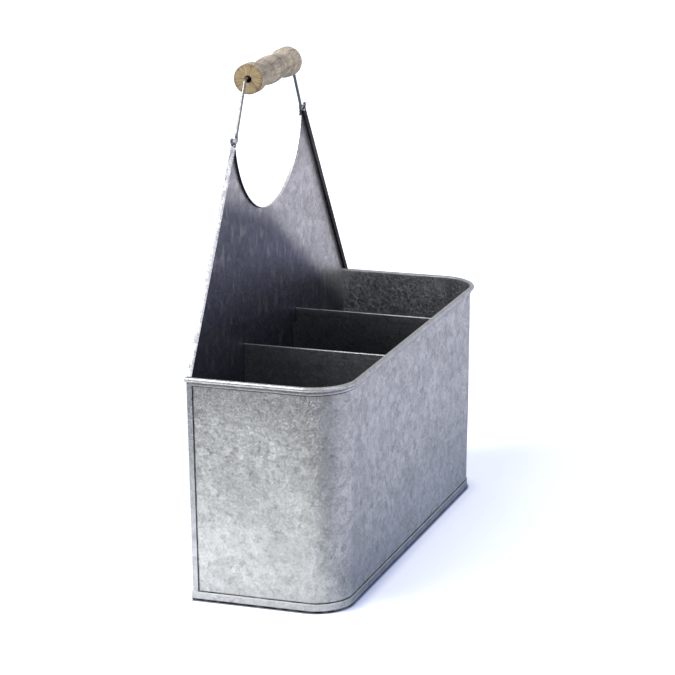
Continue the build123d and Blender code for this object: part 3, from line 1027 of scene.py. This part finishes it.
def panel_shell():
    """The panel as a closed bmesh, with the edges to round marked by their bevel weight."""
    shell = bmesh.new()
    weight = shell.edges.layers.float.new("bevel_weight_edge")
    depth = {"back": BACK, "front": PANEL_FRONT}
    made = {}

    def point(x, z, level):
        key = (round(x, 7), round(z, 7), level)
        if key not in made:
            made[key] = shell.verts.new((x, depth[level], z))
        return made[key]

    def front_face(places):
        return shell.faces.new([point(x, z, "front") for x, z in places])

    loop = outline + upper + arc + mirrored(outline + upper)
    shell.faces.new([point(x, z, "back") for x, z in loop])
    # The front face leaves out the strips that are raised
    kept = [outline[i] for i in KEPT_CORNERS] + upper
    front_face(kept + arc[:1] + ring + arc[-1:] + mirrored(kept))
    raised = []
    for sign in (1, -1):
        for picks in FLANGE_CORNERS:
            raised.append(front_face([(sign * outline[i][0], outline[i][1]) for i in picks]))
    raised.append(front_face(arc + ring[::-1]))
    for a, b in zip(loop, loop[1:] + loop[:1]):
        shell.faces.new(
            [point(*a, "back"), point(*b, "back"), point(*b, "front"), point(*a, "front")]
        )
    bmesh.ops.recalc_face_normals(shell, faces=shell.faces)
    for face, reach in zip(raised, [FLANGE_FRONT] * 4 + [BACK - CUTOUT_FLANGE]):
        grown = bmesh.ops.extrude_face_region(shell, geom=[face])
        moved = [item for item in grown["geom"] if isinstance(item, bmesh.types.BMVert)]
        bmesh.ops.translate(shell, verts=moved, vec=(0, reach - PANEL_FRONT, 0))
        if face.is_valid:
            bmesh.ops.delete(shell, geom=[face], context="FACES_ONLY")
    # Level faces are joined, so the bevel along a fold can reach past the sheet's thickness
    bmesh.ops.dissolve_limit(
        shell, angle_limit=radians(0.5), verts=shell.verts[:], edges=shell.edges[:]
    )
    bmesh.ops.recalc_face_normals(shell, faces=shell.faces)
    for edge in shell.edges:
        if len(edge.link_faces) == 2 and edge.calc_face_angle(0) >= radians(20):
            ends = [vertex.co for vertex in edge.verts]
            is_fold = abs(ends[0].z - ends[1].z) > LIP and all(
                abs(p.y - BACK) < STEP and abs(p.x) > TIP_X - STEP for p in ends
            )
            edge[weight] = FOLD_WEIGHT if is_fold else EDGE_WEIGHT
    return shell


# %% [markdown]
# The bevel rounds the folds, a Boolean drills the two holes of the bail, and weighted normals
# keep the large flat faces flat. Then each face is told where it lies, for the painted light
# and shade.

# %% Finish the panel
FOLD_RADIUS = 0.9 * MM
HOLE_RADIUS = WIRE_RADIUS + 0.35 * MM


def finish_panel(holder):
    bevel = holder.modifiers.new("folds", "BEVEL")
    bevel.limit_method = "WEIGHT"
    bevel.width = FOLD_RADIUS
    bevel.segments = 5
    bevel.use_clamp_overlap = False
    drill = bpy.data.meshes.new("drill")
    bar = bmesh.new()
    bmesh.ops.create_cone(
        bar,
        cap_ends=True,
        segments=40,
        radius1=HOLE_RADIUS,
        radius2=HOLE_RADIUS,
        depth=2 * (TIP_X + 8 * MM),
        matrix=Matrix.Translation((0, PIVOT_Y, PIVOT_Z)) @ Matrix.Rotation(pi / 2, 4, "Y"),
    )
    bar.to_mesh(drill)
    bar.free()
    tool = in_scene("drill", drill)
    holes = holder.modifiers.new("holes", "BOOLEAN")
    holes.operation = "DIFFERENCE"
    holes.solver = "EXACT"
    holes.object = tool
    holder.modifiers.new("flat", "WEIGHTED_NORMAL").keep_sharp = True


def mark_panel(mesh):
    """Marks the inner side, corners, outer strips and folds, and slight edge wear."""
    marks = {"inside": [], "corner": [], "strip": [], "fold_highlight": []}
    for face in mesh.polygons:
        x, y, z = face.center
        across = face.normal.x * x / abs(x) if abs(x) > STEP else 0.0
        from_hole = Vector((x, 0, z - CUTOUT_Z))
        at_hole = abs(from_hole.length - CUTOUT_RADIUS) < 3 * SHEET
        outward = across > 0.3 and not at_hole
        forward = y < PANEL_FRONT - STEP and abs(face.normal.y) < 0.5
        behind_lip = at_hole and face.normal.dot(from_hole) > 0
        inward = across < -0.3 and not at_hole
        lining = at_hole and abs(face.normal.y) < 0.5 and face.normal.dot(from_hole) < 0
        on_fold = across > 0.2 and face.normal.y > 0.2
        # Corners and outer strips take painted shade, folds and the cut-out's lining a painted
        # highlight
        marks["inside"].append(not (face.normal.y > 0.5 or outward))
        marks["corner"].append(forward and (behind_lip or inward))
        marks["strip"].append(outward)
        marks["fold_highlight"].append(lining or on_fold)
    for name, values in marks.items():
        layer = mesh.attributes.new(name, "FLOAT", "FACE")
        layer.data.foreach_set("value", np.asarray(values, np.float32))
    edge = []
    for vertex in mesh.vertices:
        x, y, z = vertex.co
        on_flange = y < PANEL_FRONT - 0.8 * MM and abs(x) > TIP_X + 2 * MM
        edge.append(0.15 if on_flange else 0.1)
    mark(mesh, "edge", edge)
    mark(mesh, "grime_and_shade", [0.0] * len(edge))


shell = panel_shell()
panel_mesh = bpy.data.meshes.new("panel_sheet")
shell.to_mesh(panel_mesh)
shell.free()
panel_mesh.shade_smooth()
panel_mesh.set_sharp_from_angle(angle=radians(35))
panel_mesh = modified("panel_sheet", panel_mesh, finish_panel, keep_layers=True)
bpy.data.objects.remove(bpy.data.objects["drill"])
mark_panel(panel_mesh)
add_piece("panel_sheet", panel_mesh, "caddy", "back_panel", PANEL_ZINC)

# %% [markdown]
# ## The dividers
# The CAD shape of the two dividers is right as it stands: flat sheet, a folded top and a tab
# at each end. A merged copy gets a small bevel on its edges so that they catch the light.

# %% Dress the dividers
TOP_HIGHLIGHT = 0.8 * MM


def finish_divider(holder):
    holder.modifiers.new("weld", "WELD").merge_threshold = 0.01 * MM
    bevel = holder.modifiers.new("soft", "BEVEL")
    bevel.limit_method = "ANGLE"
    bevel.angle_limit = radians(50)
    bevel.width = 0.1 * MM
    bevel.segments = 2
    holder.modifiers.new("flat", "WEIGHTED_NORMAL").keep_sharp = True


for node in ("divider_left", "divider_right"):
    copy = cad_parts[node].data.copy()
    copy.shade_smooth()
    mesh = modified(node + "_sheet", copy, finish_divider, keep_layers=True)
    fold_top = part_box(node)[1].z
    # The folded top gets a painted highlight
    tops = [max(0.0, 1 - (fold_top - v.co.z) / TOP_HIGHLIGHT) for v in mesh.vertices]
    mark(mesh, "edge", tops)
    mark(mesh, "grime_and_shade", [0.0] * len(mesh.vertices))
    add_piece(node + "_sheet", mesh, "caddy", node, SHADED_INNER_ZINC)

# %% [markdown]
# ## The stage
# A plain white floor. Camera rays see it glow white, over diffuse paint that takes shadows,
# with a contact shadow drawn round the foot. Mirror rays see another tone, because that is
# what gives the zinc its greys: bright paper beside the end wall, bluish grey in front.

# %% Lay the floor
FLOOR_HALF = 6.0
FLOOR_PAINT = (0.88, 0.885, 0.90)
LINE_WIDTH, SOFT_WIDTH = 2.6 * MM, 12 * MM
NEAR_SHADE, FRONT_SHADE = (0.04, 0.04, 0.045), (0.0, 0.04, 0.16)
GLOW, NEAR_GLOW, FRONT_GLOW = (0.80, 0.87, 1.12), (0.80, 0.83, 0.90), (0.62, 0.78, 1.7)
FOOT_BLUE, FAR_BLUE = (0.62, 0.73, 1.0), (0.80, 0.81, 0.95)
BRIGHT_PAPER = (0.97, 1.0, 1.02, 1)


def floor_material():
    material = bpy.data.materials.new("white_floor")
    material.use_nodes = True
    tree = material.node_tree
    tree.nodes.clear()
    out = tree.nodes.new("ShaderNodeOutputMaterial")
    place = tree.nodes.new("ShaderNodeTexCoord").outputs["Object"]
    rays = tree.nodes.new("ShaderNodeLightPath").outputs
    x, y, _ = split(tree, place)
    ahead = linear(tree, y, -1.0, FRONT)
    # Just in front of the front wall the glow is weaker, a painted shadow
    close = times(tree, ramp(tree, ahead, 0.0, 0.08, 0.16, 0.0), ramp(tree, x, -0.16, -0.10))
    far = vectors(tree, "LENGTH", place, out="Value")
    level = maths(tree, "SUBTRACT", ramp(tree, far, 0.20, 0.8, 0.66, 1.3), close)
    # The contact shadow follows the rounded foot: a dark line, and a bluish edge in front
    radius = CORNER_RADIUS + PAN_OUT
    links = {0: maths(tree, "ABSOLUTE", x), 1: times(tree, y, -1.0)}
    across = put(tree, "ShaderNodeCombineXYZ", links).outputs[0]
    corner = (HALF_LENGTH + PAN_OUT - radius, BACK + PAN_OUT - radius, 0)
    beyond = vectors(tree, "MAXIMUM", vectors(tree, "SUBTRACT", across, corner))
    gap = maths(tree, "SUBTRACT", vectors(tree, "LENGTH", beyond, out="Value"), radius)
    in_front = ramp(tree, x, -0.160, -0.145)
    soft = times(
        tree,
        ramp(tree, gap, 0.0, SOFT_WIDTH, 0.42, 0.0),
        in_front,
        ramp(tree, x, -0.11, 0.05, 1.0, 0.35),
    )
    contact = maths(tree, "MAXIMUM", ramp(tree, gap, 0.0, LINE_WIDTH, 0.85, 0.0), soft)
    contact = times(tree, contact, ramp(tree, y, BACK, BACK + MM, 1.0, 0.0))
    shaded = blend_colours(tree, in_front, NEAR_SHADE, FRONT_SHADE)
    colour = blend_colours(tree, contact, FLOOR_PAINT, shaded)
    paint = put(tree, "ShaderNodeBsdfDiffuse", {"Color": colour})
    level = times(tree, level, maths(tree, "SUBTRACT", 1.0, contact))
    edge_glow = blend_colours(tree, in_front, NEAR_GLOW, FRONT_GLOW)
    glow = blend_colours(tree, contact, GLOW, edge_glow)
    links = {"Color": glow, "Strength": times(tree, rays["Is Camera Ray"], level)}
    seen = put(tree, "ShaderNodeEmission", links)
    lit = put(tree, "ShaderNodeAddShader", {0: paint.outputs[0], 1: seen.outputs[0]})
    # Mirror rays see paper that is bright beside the end wall and bluish grey in front
    reach = linear(tree, x, -1.0, FRONT * 3)
    beside_end = times(
        tree, ramp(tree, reach, 0.18, 0.35, 1.66, 0.0), ramp(tree, y, 0.0, 0.12, 1.0, 1.22)
    )
    before_front = times(
        tree, ramp(tree, ahead, 0.0, 0.16, 0.56, 1.13), ramp(tree, reach, -0.02, 0.16, 1.0, 0.40)
    )
    side = times(
        tree,
        ramp(tree, linear(tree, reach, 0.10, y), -0.22, 0.04),
        ramp(tree, reach, -0.07, 0.04),
    )
    blue = blend_colours(tree, ramp(tree, ahead, 0.0, 0.14), FOOT_BLUE, FAR_BLUE)
    dim = put(tree, "ShaderNodeEmission", {"Color": blue, "Strength": before_front})
    bright = put(tree, "ShaderNodeEmission", {"Color": BRIGHT_PAPER, "Strength": beside_end})
    mirrored_tone = put(
        tree, "ShaderNodeMixShader", {0: side, 1: dim.outputs[0], 2: bright.outputs[0]}
    )
    links = {0: rays["Is Glossy Ray"], 1: lit.outputs[0], 2: mirrored_tone.outputs[0]}
    both = put(tree, "ShaderNodeMixShader", links)
    tree.links.new(both.outputs[0], out.inputs["Surface"])
    return material


floor = bpy.data.meshes.new("floor")
signs = ((-1, -1), (1, -1), (1, 1), (-1, 1))
floor.from_pydata([(a * FLOOR_HALF, b * FLOOR_HALF, 0) for a, b in signs], [], [(0, 1, 2, 3)])
floor_object = in_scene("floor", floor)
floor.materials.append(floor_material())

# %% [markdown]
# ## Light
# A large soft lamp stands to the left of the camera and above, and a weak one to the right. A
# small one on the left lights the top of the grip, and the world fills the rest. The world
# is white where the camera looks and a soft grey dome for everything that it lights.

# %% Set the lamps and the world
def lamp(name, place, aim, size, power, colour=(1, 1, 1)):
    """A round lamp at a place, turned to an aim."""
    light = bpy.data.lights.new(name, "AREA")
    light.shape = "DISK"
    light.size = size
    light.energy = power
    light.color = colour
    thing = in_scene(name, light)
    thing.location = place
    thing.rotation_euler = (Vector(aim) - Vector(place)).to_track_quat("-Z", "Y").to_euler()


lamp("key", (-1.3, 1.2, 1.5), (0, 0, 0.1), 1.6, 26.0)
lamp("rim", (-0.55, 0.75, 1.0), tuple(GRIP_CENTRE), 0.35, 6.0, (1.0, 0.98, 0.94))
lamp("fill", (-0.9, -1.8, 1.1), (0, 0, 0.12), 1.8, 8.0, (0.93, 0.96, 1.0))

world = bpy.data.worlds.new("studio")
bpy.context.scene.world = world
world.use_nodes = True
sky = world.node_tree
sky.nodes.clear()
sky_out = sky.nodes.new("ShaderNodeOutputWorld")
path = sky.nodes.new("ShaderNodeLightPath")
dome = put(sky, "ShaderNodeBackground", {"Color": (0.94, 0.96, 1.0, 1), "Strength": 0.55})
white = put(sky, "ShaderNodeBackground", {"Color": (1, 1, 1, 1), "Strength": 1.0})
links = {0: path.outputs["Is Camera Ray"], 1: dome.outputs[0], 2: white.outputs[0]}
mix = put(sky, "ShaderNodeMixShader", links)
sky.links.new(mix.outputs[0], sky_out.inputs["Surface"])

# %% [markdown]
# ## Camera
# The view was found by fitting a camera to the edges of the box, so its place, direction,
# roll and lens are plain numbers. A long lens seen from about two metres gives the mild
# perspective of the walls.

# %% Place the camera
AZIMUTH, ELEVATION, ROLL = radians(-70.405), radians(15.142), radians(-0.623)
CAMERA_PLACE = (-1.84353, -0.65518, 0.68216)
camera_data = bpy.data.cameras.new("camera")
camera_data.lens = 148.96
camera_data.sensor_width = 36.0
camera_data.shift_x, camera_data.shift_y = -0.0016, -0.0008
camera_data.clip_start, camera_data.clip_end = 0.1, 50.0
camera = in_scene("camera", camera_data)
away = Vector((sin(AZIMUTH) * cos(ELEVATION), -cos(AZIMUTH) * cos(ELEVATION), sin(ELEVATION)))
right = (-away).cross(Vector((0, 0, 1))).normalized()
up = right.cross(-away)
right, up = cos(ROLL) * right + sin(ROLL) * up, cos(ROLL) * up - sin(ROLL) * right
turned = Matrix((right, up, away)).transposed().to_4x4()
camera.matrix_world = Matrix.Translation(CAMERA_PLACE) @ turned
bpy.context.scene.camera = camera
bpy.context.scene.view_settings.view_transform = "Standard"
